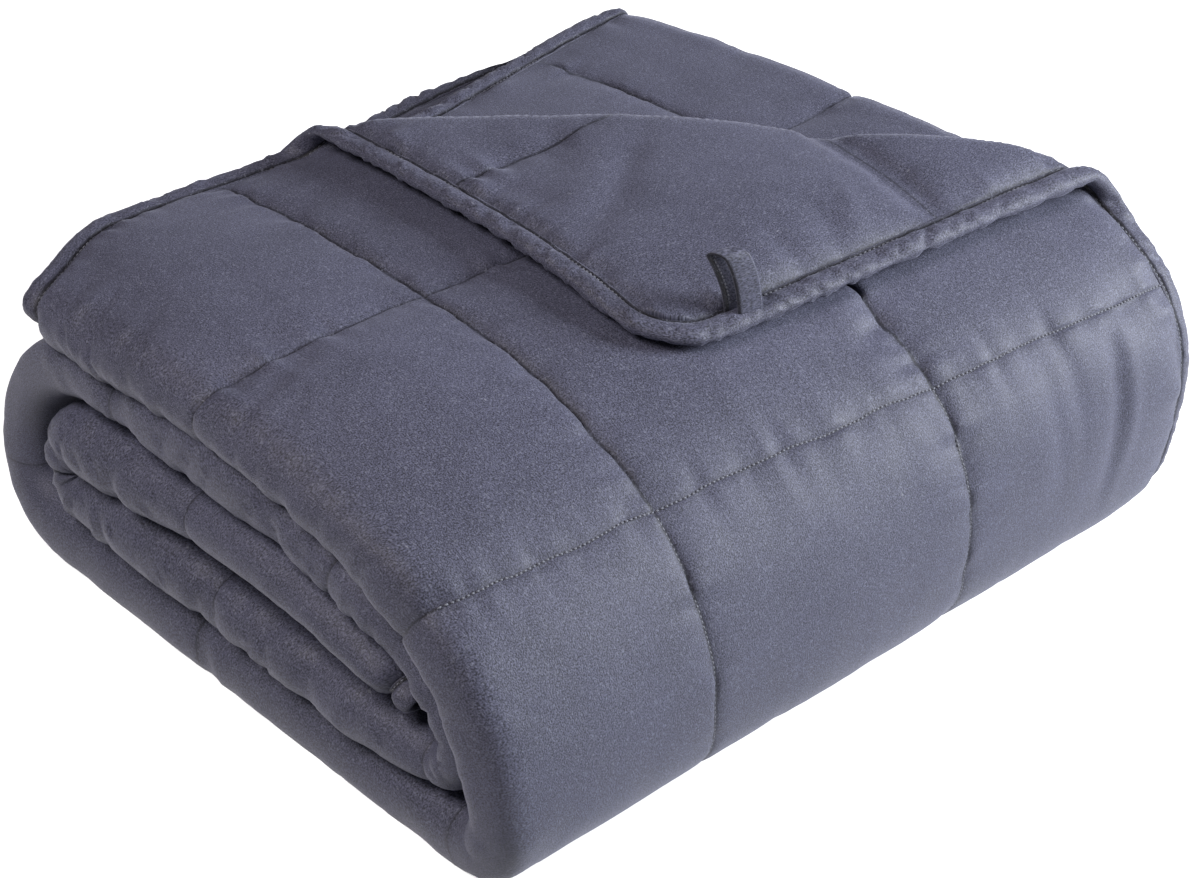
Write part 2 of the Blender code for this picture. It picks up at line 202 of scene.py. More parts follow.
def letter_fold(t):
    """Where t lies in the three plies: x, depth, and the outward direction as (x, depth)."""
    turn_ab = np.clip((t - FLAT_A) / OUTER_FOLD_R, 0, np.pi)
    turn_bc = np.clip((t - FLAT_B) / INNER_FOLD_R, 0, np.pi)
    ply_b = t > TURN_AB
    drawn = DRAWN_IN * np.cos(np.pi * t / CELL) * np.clip(1 - t / DRAWN_BY, 0, 1)
    x = np.where(ply_b, LEFT_X + OUTER_FOLD_R + t - TURN_AB, OPEN_EDGE_X - t - drawn)
    bend = (t >= FLAT_A) & ~ply_b
    x = np.where(bend, LEFT_X + OUTER_FOLD_R - OUTER_FOLD_R * np.sin(turn_ab), x)
    inner_x = RIGHT_FOLD_X - INNER_FOLD_R
    x = np.where(t > FLAT_B, inner_x + INNER_FOLD_R * np.sin(turn_bc), x)
    x = np.where(t > TURN_BC, inner_x - (t - TURN_BC), x)
    depth = AB_DEPTH - OUTER_FOLD_R * np.cos(turn_ab)
    depth = np.where(t > FLAT_B, BC_DEPTH + INNER_FOLD_R * np.cos(turn_bc), depth)
    out_x = np.where(t > FLAT_B, np.sin(turn_bc), -np.sin(turn_ab))
    out_depth = np.where(t > FLAT_B, np.cos(turn_bc), -np.cos(turn_ab))
    return x, depth, out_x, out_depth


def slipped(s, t):
    total = 0.0
    for slip in SLIPS:
        share = np.clip((t - slip.t) / slip.half_width, -1, 1)
        hump = np.cos(share * np.pi / 2) ** 2
        total = total + slip.amount * hump * np.clip(1 - s / slip.fades_by, 0, 1)
    return total


def rolled(s, t, lift):
    """The folded and rolled bundle before its corner is turned back."""
    cell = np.clip(s / CELL, 0, CELLS_LONG)
    past = s - cell * CELL
    along = np.interp(cell, np.arange(CELLS_LONG + 1), SEAM_AT) + past - slipped(s, t)
    x, depth, out_x, out_depth = letter_fold(t)
    depth = (depth + out_depth * lift) * np.interp(along, PATH, PRESS)
    x = x + out_x * lift
    y = np.interp(along, PATH, PATH_Y) - np.interp(along, PATH, OUT_Y) * depth
    z = np.interp(along, PATH, PATH_Z) - np.interp(along, PATH, OUT_Z) * depth
    taper = TAPER_A + (TAPER_BC - TAPER_A) * ease((t - FLAT_A) / (TURN_AB - FLAT_A))
    wide = x * (1 + taper * (TAPER_MID - y) / TAPER_DEPTH)
    y = y - SKEW * (x - SKEW_X) * ease((z - SKEW_LOW) / SKEW_RISE)
    edge = np.clip(1 - x / SAG_REACH, 0, SAG_MOST)
    z = z - SAG * edge**2 * ease((z - SAG_LOW) / SAG_RISE)
    z = np.maximum(z - FLOOR_PRESS * np.clip(1 - z / FLOOR_FADE, 0, 1), 0)
    return np.stack([wide, y, z], axis=1)


def top_height(x, y):
    """Height of the middle of the top ply over a place in plan."""
    on_top = PATH < CURL_END
    depth = 0.5 * PITCH * PRESS[on_top]
    ply_y = PATH_Y[on_top] - OUT_Y[on_top] * depth
    ply_z = PATH_Z[on_top] - OUT_Z[on_top] * depth
    flat_x = x / (1 + TAPER_A * (TAPER_MID - y) / TAPER_DEPTH)
    order = np.argsort(ply_y)
    return np.interp(y + SKEW * (flat_x - SKEW_X), ply_y[order], ply_z[order])


def past_crease(middle):
    """Distance in plan beyond the line where the top ply starts to lift."""
    return middle[:, :2] @ CREASE_WAY - CREASE_REACH + np.pi * CURL_R / 2


def laid(s, t, lift):
    """Cloth coordinates to space, with the corner of the top ply turned back over its crease."""
    s, t, lift = np.broadcast_arrays(*(np.atleast_1d(np.asarray(v, float)) for v in (s, t, lift)))
    place = rolled(s, t, lift)
    middle = rolled(s, t, np.zeros_like(s))
    past = past_crease(middle)
    turned = (t < FLAT_A) & (s < CURL_END) & (past > 0)
    middle = middle[turned]
    past = past[turned]
    offset = place[turned] - middle
    turn = np.minimum(past / CURL_R, np.pi)
    back = np.maximum(past - np.pi * CURL_R, 0)
    fade = (1 + np.cos(turn)) / 2
    crease_line = np.array([-CREASE_WAY[1], CREASE_WAY[0]])
    fanned = back * (1 + FAN * (middle[:, :2] @ crease_line))
    across = (CURL_R - offset[:, 2]) * np.sin(turn) - fanned
    plan = middle[:, :2] + CREASE_WAY * (across - past)[:, None] + offset[:, :2] * fade[:, None]
    plan = plan + crease_line * (DRIFT * back)[:, None]
    lifted = CURL_R * (1 - np.cos(turn)) + (REST - 2 * CURL_R) * ease(back / SETTLE)
    own = middle[:, 2] - top_height(middle[:, 0], middle[:, 1])
    height = top_height(plan[:, 0], plan[:, 1]) + own * fade + lifted + offset[:, 2] * np.cos(turn)
    place[turned] = np.column_stack([plan, height])
    return place - np.array([CENTRE_X, CENTRE_Y, 0])


def round_corners(s, t):
    """Moves the stations of each corner square onto a quarter circle."""
    middle_s = np.clip(s, INNER_RADIUS, LENGTH - INNER_RADIUS)
    middle_t = np.clip(t, INNER_RADIUS, WIDTH - INNER_RADIUS)
    u = (s - middle_s) / INNER_RADIUS
    v = (t - middle_t) / INNER_RADIUS
    return (
        middle_s + INNER_RADIUS * u * np.sqrt(1 - v**2 / 2),
        middle_t + INNER_RADIUS * v * np.sqrt(1 - u**2 / 2),
    )


# ---- The cloth's relief: pillows, puckers, creases and the uneven hand of sewn cloth ----

# Soft troughs (negative) and ridges that stand out: the middle in cloth coordinates, the
# heading in degrees from the s direction, and how far each fades
Crease = namedtuple("Crease", "s t heading length width height")
OUTSIDE_CREASES = (
    Crease(0.350, 0.051, 4, 0.048, 0.0050, -0.0019),
    Crease(0.352, 0.041, 4, 0.045, 0.0045, 0.0012),
    Crease(0.338, 0.078, 0, 0.036, 0.0060, -0.0012),
    Crease(0.345, 0.093, -3, 0.040, 0.0065, -0.0010),
    Crease(0.268, 0.158, 60, 0.014, 0.0045, -0.0026),
    Crease(0.255, 0.166, 75, 0.016, 0.0060, 0.0014),
    Crease(0.240, 0.020, 70, 0.022, 0.0060, -0.0016),
    Crease(0.222, 0.030, 50, 0.026, 0.0070, -0.0012),
    Crease(0.165, 0.385, 70, 0.022, 0.0050, -0.0016),
    Crease(0.140, 0.372, 110, 0.022, 0.0060, -0.0012),
    Crease(0.606, 0.426, 60, 0.016, 0.0045, -0.0014),
    Crease(0.596, 0.424, 95, 0.016, 0.0040, 0.0008),
    Crease(0.916, 0.414, 80, 0.014, 0.0050, -0.0030),
)
UNDERSIDE_CREASES = (
    Crease(0.028, 0.082, 25, 0.030, 0.0090, -0.0017),
    Crease(0.060, 0.110, 40, 0.034, 0.0080, -0.0020),
    Crease(0.050, 0.150, 55, 0.030, 0.0090, -0.0014),
    Crease(0.102, 0.016, 80, 0.016, 0.0060, -0.0016),
    Crease(0.075, 0.012, 95, 0.014, 0.0045, -0.0015),
    Crease(0.120, 0.024, 70, 0.018, 0.0050, 0.0012),
    Crease(0.016, 0.120, 100, 0.020, 0.0080, -0.0013),
    Crease(0.152, 0.050, 90, 0.050, 0.0070, -0.0022),
)
# How the seams sink down the outer wrap: deep where the cloth is slack on top, shallow where it is
# pulled tight over the front. A groove is the thread's own, a valley the filling's on both sides
Sinking = namedtuple("Sinking", "s groove valley")
CROSS_SEAMS = (
    Sinking(0.0, 1.0, 1.0),
    Sinking(1 * CELL, 0.90, 0.80),
    Sinking(2 * CELL, 0.40, 0.20),
    Sinking(3 * CELL, 0.50, 0.30),
    Sinking(4 * CELL, 0.45, 0.20),
    Sinking(5 * CELL, 0.60, 0.40),
    Sinking(6 * CELL, 0.90, 0.80),
)
LONG_SEAMS = (
    Sinking(0.0, 0.95, 0.85),
    Sinking(0.22, 0.95, 0.75),
    Sinking(0.34, 0.70, 0.34),
    Sinking(0.43, 0.30, 0.10),
    Sinking(0.60, 0.25, 0.10),
    Sinking(0.90, 0.80, 0.50),
    Sinking(1.20, 0.90, 0.90),
)
LEFT_FOLD = FLAT_A + np.pi * OUTER_FOLD_R / 2
RIGHT_FOLD = FLAT_B + np.pi * INNER_FOLD_R / 2

# Where along s the wrap is pulled tight round the left fold, and where the roll's inside starts
WRAP_FROM = 0.40
WRAP_TO = 0.90
WRAP_EASE = 0.06
INNER_FROM = 0.45
INNER_EASE = 0.3
# How far a seam's groove and its valley reach to both sides
GROOVE_REACH = 0.0028
VALLEY_REACH = 0.030
# The sewing's unevenness: how far apart the pinches are, how far the noise runs, and how far each
# seam's noise is shifted from its neighbour's
PINCH_WAVE = 0.013
SEWN_RUN = 6
SEAM_SHIFT = 0.37
# How far a seam wanders from its line, and how far from the cloth's edges it is still held straight
WANDER = 0.0009
HELD = 0.05
# A place on one face: loose and taut tell how the wrap pulls there, along_s and along_t run along the
# nearest cross seam and long seam
Spot = namedtuple("Spot", "s t face near_s near_t edge left right loose taut inner along_s along_t")


class Unevenness:
    """Seeded smooth noise along a line or over the cloth, between about -1 and 1."""

    def __init__(self, seed):
        self.draw = np.random.RandomState(seed)

    def along(self, at, wavelength, reach=2.4):
        knots = np.arange(-0.2, reach, wavelength / 2)
        heights = self.draw.uniform(-1, 1, len(knots))
        place = (np.clip(at, knots[0], knots[-1] - 1e-6) - knots[0]) / (wavelength / 2)
        low = place.astype(int)
        return heights[low] + (heights[low + 1] - heights[low]) * ease(place - low)

    def over(self, s, t, wavelength):
        step = wavelength / 2
        rows = int(2.4 / step) + 3
        columns = int(1.8 / step) + 3
        heights = self.draw.uniform(-1, 1, (rows, columns))
        u = np.clip((s + 0.2) / step, 0, rows - 2)
        v = np.clip((t + 0.2) / step, 0, columns - 2)
        i = u.astype(int)
        j = v.astype(int)
        a = ease(u - i)
        b = ease(v - j)
        lower = heights[i, j] * (1 - a) + heights[i + 1, j] * a
        upper = heights[i, j + 1] * (1 - a) + heights[i + 1, j + 1] * a
        return lower * (1 - b) + upper * b


def seam_distance(at, cells):
    """Distance to the nearest line of sewing, the cloth's edges among them."""
    nearest = np.clip(np.round(at / CELL), 0, cells) * CELL
    return np.abs(at - nearest)


def pillow(distance, groove, valley, pinch):
    """Rises steeply beside a seam, more so where it is pinched, then slowly to a square's middle."""
    steep = np.exp(-distance / (GROOVE_REACH * (1 + pinch)))
    slow = np.exp(-((distance / VALLEY_REACH) ** 1.1))
    return 1 - 0.44 * groove * steep - 0.56 * valley * slow


def sinking(seams, s, least):
    """Depth of the groove and of the valley at s, and no less than the least."""
    at = [seam.s for seam in seams]
    groove = np.interp(s, at, [seam.groove for seam in seams])
    valley = np.interp(s, at, [seam.valley for seam in seams])
    return np.maximum(groove, least), np.maximum(valley, least)


def at_fold(t, fold, reach):
    """1 on a fold of the cloth, fading over the reach."""
    return np.exp(-(((t - fold) / reach) ** 2))


def notched(noise, share):
    """Turns smooth noise into narrow dents with plain cloth between."""
    return np.clip((1 - np.abs(noise) - share) / (1 - share), 0, 1) ** 2


def wandering(s, t):
    """The seams wander a little from their straight lines."""
    rough = Unevenness(11)
    hold_s = ease(seam_distance(s, 0) / HELD) * ease((LENGTH - s) / HELD)
    hold_t = ease(seam_distance(t, 0) / HELD) * ease((WIDTH - t) / HELD)
    by_s = rough.along(t + 0.01 * s, 0.055) + 0.6 * rough.along(t, 0.018)
    by_t = rough.along(s + 0.01 * t, 0.055) + 0.6 * rough.along(s, 0.018)
    return s + WANDER * by_s * hold_s, t + WANDER * by_t * hold_t


def beside(distance, reach, clear):
    """Strongest a little away from a seam: nothing on it, and fading over the reach."""
    return np.exp(-distance / reach) * (1 - np.exp(-distance / clear))


def look_round(s, t, face):
    """What shapes the cloth at each place. face is 1 outside and -1 inside."""
    wrap = ease((s - WRAP_FROM) / WRAP_EASE) * ease((WRAP_TO - s) / WRAP_EASE)
    return Spot(
        s=s,
        t=t,
        face=face,
        near_s=seam_distance(s, CELLS_LONG),
        near_t=seam_distance(t, CELLS_WIDE),
        edge=np.minimum(np.minimum(s, LENGTH - s), np.minimum(t, WIDTH - t)),
        left=at_fold(t, LEFT_FOLD, 0.024),
        right=at_fold(t, RIGHT_FOLD, 0.020),
        loose=1 - 0.85 * wrap,
        taut=0.95 * wrap * at_fold(t, LEFT_FOLD, 0.050),
        inner=ease((s - INNER_FROM) / INNER_EASE),
        along_s=t + np.round(s / CELL) * SEAM_SHIFT,
        along_t=s + np.round(t / CELL) * SEAM_SHIFT,
    )


def puffed(spot, rough):
    """How far the filling lifts the cloth: least on a seam, 1 in a square's middle."""
    bound = np.exp(-spot.edge / 0.02)
    pinch_s = 1.1 * np.clip(rough.along(spot.along_s, PINCH_WAVE, SEWN_RUN) + 0.15, -0.45, 1)
    pinch_t = 1.1 * np.clip(rough.along(spot.along_t, PINCH_WAVE, SEWN_RUN) + 0.15, -0.45, 1)
    if spot.face < 0:
        plump = np.maximum(1 - 0.95 * ease((spot.s - 0.02) / 0.06), bound)
        deep = 1.45 - 0.60 * ease((spot.t - 0.06) / 0.13)
        return pillow(spot.near_s, 1.5, deep, pinch_s) * pillow(spot.near_t, plump, plump, pinch_t)
    folded = 0.9 * np.maximum(spot.left, spot.right) * spot.loose
    across = sinking(CROSS_SEAMS, spot.s, np.maximum(folded, bound))
    along = sinking(LONG_SEAMS, spot.s, bound)
    puff = pillow(spot.near_s, *across, pinch_s) * pillow(spot.near_t, *along, pinch_t)
    return spot.taut + (1 - spot.taut) * puff


def crowned(spot, sizes):
    """Half the thickness in a square's middle, which is more where nothing presses on the face."""
    past = past_crease(rolled(spot.s, spot.t, np.zeros_like(spot.s)))
    turned = ease(past / 0.02) * (spot.s < CURL_END) * (spot.t < FLAT_A)
    bare = turned
    if spot.face > 0:
        bare = (1 - turned) * ease((1.05 - spot.s) / 0.10) * ease((LEFT_FOLD - spot.t) / 0.012)
    return sizes.crown + sizes.extra_crown * bare


def puckered(spot, sizes, rough):
    """Ripples and pleats that the sewing draws up beside the seams."""
    at_s = spot.along_s
    at_t = spot.along_t
    ripple_s = rough.along(at_s, 0.014, SEWN_RUN) * np.abs(rough.along(at_s, 0.045, SEWN_RUN))
    ripple_t = rough.along(at_t, 0.014, SEWN_RUN) * np.abs(rough.along(at_t, 0.045, SEWN_RUN))
    small_s = rough.along(at_s + 0.2 * spot.near_s, 0.007, SEWN_RUN)
    small_t = rough.along(at_t + 0.2 * spot.near_t, 0.007, SEWN_RUN)
    pleats = rough.along(at_s + 0.10 * spot.near_s, PINCH_WAVE, SEWN_RUN)
    pleats = pleats * np.clip(rough.along(at_s, 0.10, SEWN_RUN) + 0.4, 0, 1)
    drawn = beside(spot.near_s, sizes.pucker_reach, 0.0012) * (2.0 * ripple_s + 0.35 * small_s)
    drawn = drawn + beside(spot.near_t, sizes.pucker_reach, 0.0012) * (2.0 * ripple_t + 0.35 * small_t)
    drawn = drawn + 0.38 * pleats * beside(spot.near_s, 0.030, 0.0020)
    return sizes.pucker * drawn * (1 + 0.9 * np.exp(-spot.edge / 0.015)) * (1 - 0.95 * spot.taut)


def lumpy(spot, sizes, rough, puff):
    """Soft lumps of the filling, more of them inside the roll."""
    lumps = rough.over(spot.s, spot.t, 0.085) + 0.5 * rough.over(spot.s, spot.t, 0.034)
    return sizes.lump * (1 + spot.inner) * lumps * puff * (1 - spot.taut)


def gathered(spot, sizes, rough):
    """Scallops, drawn-in notches and leaning wrinkles of the cloth along its folds."""
    s = spot.s
    fold = spot.t - LEFT_FOLD
    uneven = np.clip(0.45 + 0.9 * rough.along(s, 0.13, SEWN_RUN), 0, 1) * (spot.left + 0.3 * spot.right)
    scallop = rough.along(s + 0.25 * fold, 0.014, SEWN_RUN) + 0.6 * rough.along(s, 0.042, SEWN_RUN)
    notch = notched(rough.along(s - 0.45 * fold, 0.046, SEWN_RUN), 0.80)
    wrinkle = rough.over(s, 0.30 * spot.t, 0.012)
    line = notched(rough.over(s + 0.8 * fold, 0.20 * spot.t, 0.040), 0.80)
    line = line + 0.7 * notched(rough.over(s - 1.1 * fold, 0.20 * spot.t, 0.048), 0.84)
    line = line * at_fold(spot.t, LEFT_FOLD, 0.034)
    folds = uneven * sizes.gather * (0.40 * scallop - 1.1 * notch + 0.35 * wrinkle)
    return spot.loose * (folds - (0.0010 + 0.0014 * spot.inner) * line)


def bulged(spot, sizes):
    """How the loose left fold bulges into the gap under it, and where it is drawn back."""
    under_lip = at_fold(spot.t, LEFT_FOLD + 0.015, 0.012) * ease((0.52 - spot.s) / 0.10)
    inside = at_fold(spot.t, LEFT_FOLD, 0.030) * ease((spot.s - 1.2) / 0.1)
    shoulder = at_fold(spot.t, FLAT_A, 0.011) + at_fold(spot.t, TURN_AB, 0.011)
    shoulder = shoulder * ease((spot.s - 0.93) / 0.05)
    drawn_back = spot.left * np.exp(-(((spot.s - 0.82) / 0.07) ** 2))
    return sizes.droop * (under_lip + 0.5 * inside + 0.32 * shoulder - 0.6 * drawn_back)


def cloth_height(s, t, face, sizes):
    """Lift of one face of the quilt: face is 1 outside and -1 inside."""
    spot = look_round(s, t, face)
    rough = Unevenness(23 + face)
    puff = puffed(spot, rough)
    pucker = puckered(spot, sizes, rough)
    height = sizes.seam_half + (crowned(spot, sizes) - sizes.seam_half) * puff
    height = height + lumpy(spot, sizes, rough, puff)
    loose = pucker + gathered(spot, sizes, rough) + bulged(spot, sizes)
    height = height + loose * ease(spot.edge / 0.004)
    for crease in OUTSIDE_CREASES if face > 0 else UNDERSIDE_CREASES:
        height = height + creased(s, t, crease)
    return face * np.maximum(height, sizes.seam_half * (0.8 if face > 0 else 0.3))


def creased(s, t, crease):
    """A soft trough or ridge that fades along its length and to both sides."""
    turn = np.radians(crease.heading)
    along = (s - crease.s) * np.cos(turn) + (t - crease.t) * np.sin(turn)
    beside = (t - crease.t) * np.cos(turn) - (s - crease.s) * np.sin(turn)
    return crease.height * np.exp(-((along / crease.length) ** 2) - (beside / crease.width) ** 2)


# ---- Shader helpers ----


class Wire:
    """A value in a node tree that Python's arithmetic adds Math nodes to."""

    def __init__(self, paint, socket):
        self.paint = paint
        self.socket = socket

    def maths(self, operation, *values):
        inputs = dict(enumerate(values))
        return self.paint.node("ShaderNodeMath", {"operation": operation}, inputs)

    def __add__(self, other):
        return self.maths("ADD", self, other)

    def __sub__(self, other):
        return self.maths("SUBTRACT", self, other)

    def __mul__(self, other):
        return self.maths("MULTIPLY", self, other)

    def __truediv__(self, other):
        return self.maths("DIVIDE", self, other)

    def __rsub__(self, other):
        return self.maths("SUBTRACT", other, self)

    def __rtruediv__(self, other):
        return self.maths("DIVIDE", other, self)

    def __gt__(self, other):
        return self.maths("GREATER_THAN", self, other)

    __radd__ = __add__
    __rmul__ = __mul__

    def clamped(self):
        return self.maths("MAXIMUM", self, 0.0).least(1.0)

    def absolute(self):
        return self.maths("ABSOLUTE", self)

    def least(self, other):
        return self.maths("MINIMUM", self, other)

    def apart(self, period):
        """Distance to the nearest multiple of the period."""
        return self.maths("PINGPONG", self, period / 2)


class Paint:
    """One material and its nodes."""

    def __init__(self, name):
        self.material = bpy.data.materials.new(name)
        self.material.use_nodes = True
        self.tree = self.material.node_tree
        self.shader = self.tree.nodes["Principled BSDF"]

    def feed(self, socket, value):
        if isinstance(value, Wire):
            self.tree.links.new(value.socket, socket)
        else:
            socket.default_value = value

    def node(self, kind, settings=None, inputs=None, output=0):
        """Adds a node: its settings first, then values or links for its sockets."""
        node = self.tree.nodes.new(kind)
        for key, value in (settings or {}).items():
            setattr(node, key, value)
        for key, value in (inputs or {}).items():
            self.feed(node.inputs[key], value)
        return Wire(self, node.outputs[output])

    def surface(self, **inputs):
        for key, value in inputs.items():
            self.feed(self.shader.inputs[key.replace("_", " ")], value)

    def uv(self):
        return self.node("ShaderNodeUVMap", {"uv_map": "Cloth"})

    def apart_xy(self, vector):
        split = self.node("ShaderNodeSeparateXYZ", inputs={0: vector}).socket.node
        return Wire(self, split.outputs[0]), Wire(self, split.outputs[1])

    def scaled(self, vector, scale):
        return self.node("ShaderNodeMapping", inputs={"Vector": vector, "Scale": scale})

    def noise(self, vector, size, detail=2.0, roughness=0.5):
        """Noise between 0 and 1 whose grain is about one size across."""
        inputs = {"Vector": vector, "Scale": 1 / size, "Detail": detail, "Roughness": roughness}
        return self.node("ShaderNodeTexNoise", inputs=inputs)

    def cells(self, vector, size):
        """A random value for each small cell, which looks like the glints of a close weave."""
        return self.node("ShaderNodeTexVoronoi", inputs={"Vector": vector, "Scale": 1 / size}, output=1)

    def mixed(self, share, first, second):
        inputs = {0: share, 6: first, 7: second}
        return self.node("ShaderNodeMix", {"data_type": "RGBA"}, inputs, output=2)

    def relief(self, height, distance, strength):
        inputs = {"Height": height, "Distance": distance, "Strength": strength}
        return self.node("ShaderNodeBump", inputs=inputs)


# ---- Finishes ----


# The cloth's grain and its painted glints, by the size of their features in metres
WEAVE_SIZE = 0.00072
GLINT_SIZE = 0.00060
PAINTED_GLINT_SIZE = 0.00085
TUFT_SIZE = 0.0028
LINT_SIZE = 0.0032
NAP_SIZE = 0.022
CLOUD_SIZE = 0.11
# Painted shade at seams and grooves: a wide soft painted shadow, and in it a dark line of this
# half width, partly the needle holes and partly painted shade in the groove
SHADOW_REACH = 0.0050
SEAM_LINE = 0.0013
GROOVE_LINE = 0.0024
SHADOW_COLOUR = (0.020, 0.020, 0.030, 1.0)
HOLES_AND_GROOVE_SHADE_COLOUR = (0.006, 0.006, 0.010, 1.0)
# Painted highlights: the colour of the weave's painted glints
PAINTED_GLINT_COLOUR = (0.42, 0.44, 0.55, 1.0)
LINT_COLOUR = (0.50, 0.51, 0.56, 1.0)
SHEEN_COLOUR = (0.76, 0.77, 0.95, 1.0)


def toned(colour, factor):
    """The colour, darker or lighter, and opaque."""
    return tuple(min(1.0, factor * part) for part in colour[:3]) + (1.0,)


def brushed_cloth(name, colour, sewn_squares):
    """Brushed microfibre: a fine grain, soft mottling from the nap, stray lint, painted glints, and painted
    shade along seams and grooves.
    """
    paint = Paint(name)
    uv = paint.uv()
    weave = paint.noise(paint.scaled(uv, (1.0, 1.2, 1.0)), WEAVE_SIZE, 1.0, 0.5)
    glints = paint.cells(paint.scaled(uv, (1.0, 1.3, 1.0)), GLINT_SIZE)
    tufts = paint.noise(paint.scaled(uv, (1.0, 1.5, 1.0)), TUFT_SIZE, 1.0, 0.5)
    nap = paint.noise(uv, NAP_SIZE, 3.0, 0.6)
    clouds = paint.noise(uv, CLOUD_SIZE, 2.0, 0.5)
    # Painted glints: sparse bright cells painted as highlights of the weave
    painted_glints = (paint.cells(paint.scaled(uv, (1.0, 1.3, 1.0)), PAINTED_GLINT_SIZE) - 0.72).clamped() * 6.0
    lint = paint.noise(paint.scaled(uv, (1.0, 2.6, 1.0)), LINT_SIZE, 0.0, 0.5) > 0.86
    tone = (weave - 0.5) * 2.8 + (glints - 0.5) * 0.5 + (tufts - 0.5) * 0.25
    tone = tone + (nap - 0.5) * 0.35 + (clouds - 0.5) * 0.35 + 0.5
    shade = paint.mixed(tone.clamped(), toned(colour, 0.30), toned(colour, 1.70))
    s, t = paint.apart_xy(uv)
    if sewn_squares:
        near = (s.apart(CELL) + 0.0004).least(t.apart(CELL))
        half_width = SEAM_LINE
        faintest = 0.35
    else:
        near = (t - GROOVE_UV).absolute().least((t - UNDER_GROOVE_UV).absolute())
        half_width = GROOVE_LINE
        faintest = 0.60
    # The dark line along a seam or groove: partly the needle holes, partly painted shade in the groove
    line = ((1 - near / half_width) * 1.6).clamped() * (tufts * 0.7 + faintest)
    # Painted shadow: a wide soft darkening beside every seam and groove
    shade = paint.mixed((1 - near / SHADOW_REACH).clamped() * 0.28, shade, SHADOW_COLOUR)
    shade = paint.mixed(line, shade, HOLES_AND_GROOVE_SHADE_COLOUR)
    # Mixes in the painted highlights of the weave
    shade = paint.mixed(painted_glints.clamped() * 0.22, shade, PAINTED_GLINT_COLOUR)
    shade = paint.mixed(lint * 0.30, shade, LINT_COLOUR)
    paint.surface(
        Base_Color=shade,
        Roughness=0.60 + (nap - 0.5) * 0.15,
        Normal=paint.relief(weave + tufts * 0.3, 0.0003, 0.50),
        Sheen_Weight=0.25,
        Sheen_Roughness=0.45,
        Sheen_Tint=SHEEN_COLOUR,
        Specular_IOR_Level=0.50,
    )
    return paint.material


def thread(name, colour):
    """Sewing thread, a touch glossier than the cloth."""
    paint = Paint(name)
    place = paint.node("ShaderNodeTexCoord", output=3)
    twist = paint.noise(place, 0.0006, 1.0, 0.5)
    paint.surface(
        Base_Color=paint.mixed(twist, toned(colour, 0.5), tuple(colour)),
        Roughness=0.55,
        Sheen_Weight=0.2,
    )
    return paint.material


def floor_finish(name, colour):
    """Plain pale paper."""
    paint = Paint(name)
    place = paint.node("ShaderNodeTexCoord", output=3)
    tone = paint.noise(place, 0.30, 2.0, 0.5)
    paint.surface(
        Base_Color=paint.mixed(tone, tuple(colour), toned(colour, 1.02)),
        Roughness=0.9,
        Specular_IOR_Level=0.1,
        Emission_Color=(1.0, 1.0, 1.0, 1.0),
        Emission_Strength=0.75,
    )
    return paint.material


# ---- Making pieces ----


# Points closer than this are merged
SAME_POINT = 1e-7


def grid_mesh(rows, columns):
    """A bmesh grid whose x and y are row and column numbers."""
    bm = bmesh.new()
    bmesh.ops.create_grid(bm, x_segments=rows - 1, y_segments=columns - 1, size=0.5)
    bmesh.ops.translate(bm, vec=(0.5, 0.5, 0), verts=bm.verts)
    bmesh.ops.scale(bm, vec=(rows - 1, columns - 1, 1), verts=bm.verts)
    return bm


def in_grid_order(bm, columns):
    """Sorts edges and faces by place, since an extruded rim is listed in another order in each run."""

    def place(part):
        row, column, side = sum((corner.co for corner in part.verts), Vector()) / len(part.verts)
        return (row * 2 * columns + column) * 4 + side

    bm.edges.sort(key=place)
    bm.faces.sort(key=place)


def points_of(mesh):
    co = np.empty(len(mesh.vertices) * 3, np.float32)
    mesh.vertices.foreach_get("co", co)
    return co.reshape(-1, 3).astype(float)


def to_mesh(name, bm):
    mesh = bpy.data.meshes.new(name)
    bm.to_mesh(mesh)
    bm.free()
    return mesh


def set_uv(mesh, u, v):
    """Stores cloth coordinates in metres as the piece's UV map."""
    corners = np.empty(len(mesh.loops), np.int32)
    mesh.loops.foreach_get("vertex_index", corners)
    layer = mesh.uv_layers.new(name="Cloth")
    layer.uv.foreach_set("vector", np.column_stack([u, v])[corners].astype(np.float32).ravel())


def move_points(mesh, places):
    mesh.vertices.foreach_set("co", np.asarray(places, np.float32).ravel())
    mesh.update()


def finished(name, mesh, places, material, node=None):
    """Moves the mesh's points to their places, none under the floor, and hands the piece to the frame."""
    places = np.array(places)
    places[:, 2] = np.maximum(places[:, 2], 0)
    move_points(mesh, places)
    bm = bmesh.new()
    bm.from_mesh(mesh)
    bmesh.ops.remove_doubles(bm, verts=bm.verts, dist=SAME_POINT)
    if bm.calc_volume(signed=True) < 0:
        bmesh.ops.reverse_faces(bm, faces=bm.faces)
    bm.to_mesh(mesh)
    bm.free()
    mesh.polygons.foreach_set("use_smooth", np.ones(len(mesh.polygons), bool))
    mesh.materials.append(material)
    piece = bpy.data.objects.new(name, mesh)
    bpy.context.scene.collection.objects.link(piece)
    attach(piece, BODY)
    if node:
        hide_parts(node)
    return piece


# The mesh is finest where the cloth is seen from near: (end, step) one after another
LONG_SPANS = ((0.37, 0.0027), (0.62, 0.0034), (1.64, 0.0038), (LENGTH, 0.0060))
WIDE_SPANS = (
    (0.36, 0.0032), (0.455, 0.0025), (0.52, 0.0060), (0.76, 0.0120), (0.86, 0.0045), (WIDTH, 0.0070),
)
BESIDE_SEAM = (0.0010, 0.0024)
CLEAR_OF_SEAM = 0.0036


